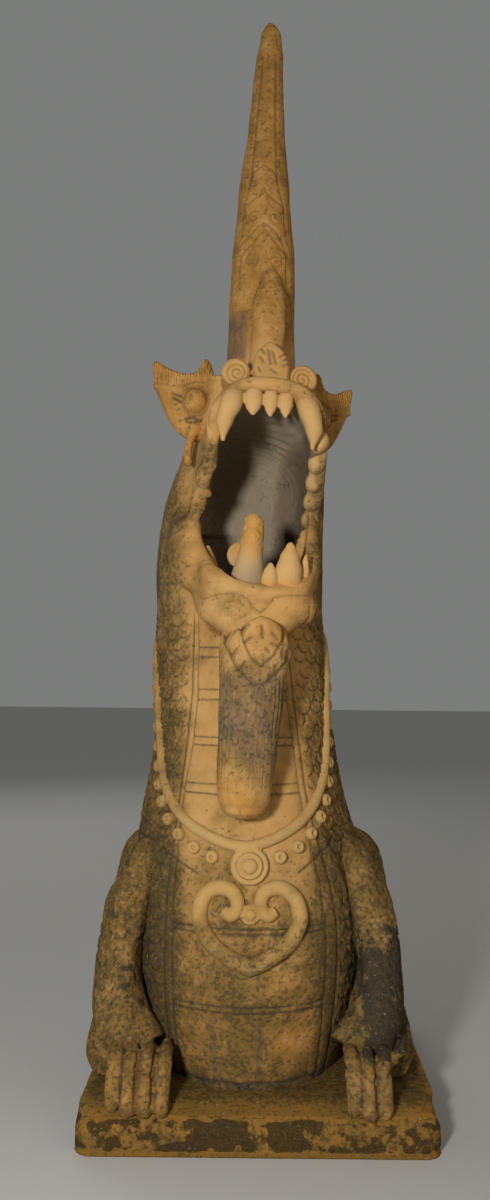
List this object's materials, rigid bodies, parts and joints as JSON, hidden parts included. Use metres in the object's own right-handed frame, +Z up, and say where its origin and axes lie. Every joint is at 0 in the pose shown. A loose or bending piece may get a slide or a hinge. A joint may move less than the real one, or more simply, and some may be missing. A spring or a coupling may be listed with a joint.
{
  "type": "ridge beast ornament",
  "caption": "Seated open-mouthed ridge beast of hollow fired clay with a raised trunk, necklace and pendant, modelled in one with its slab.",
  "frame": {"origin": "centre of the slab's underside", "axes": "+Z up along the neck and trunk; the beast faces -Y, and +X is on the right of the one who looks at its face"},
  "size_m": [0.2433, 0.24, 0.8053],
  "materials": {
    "terracotta": "matte unglazed, with patina and black lichen"
  },
  "bodies": {
    "root": {"ridge_beast": "terracotta"}
  },
  "joints": []
}
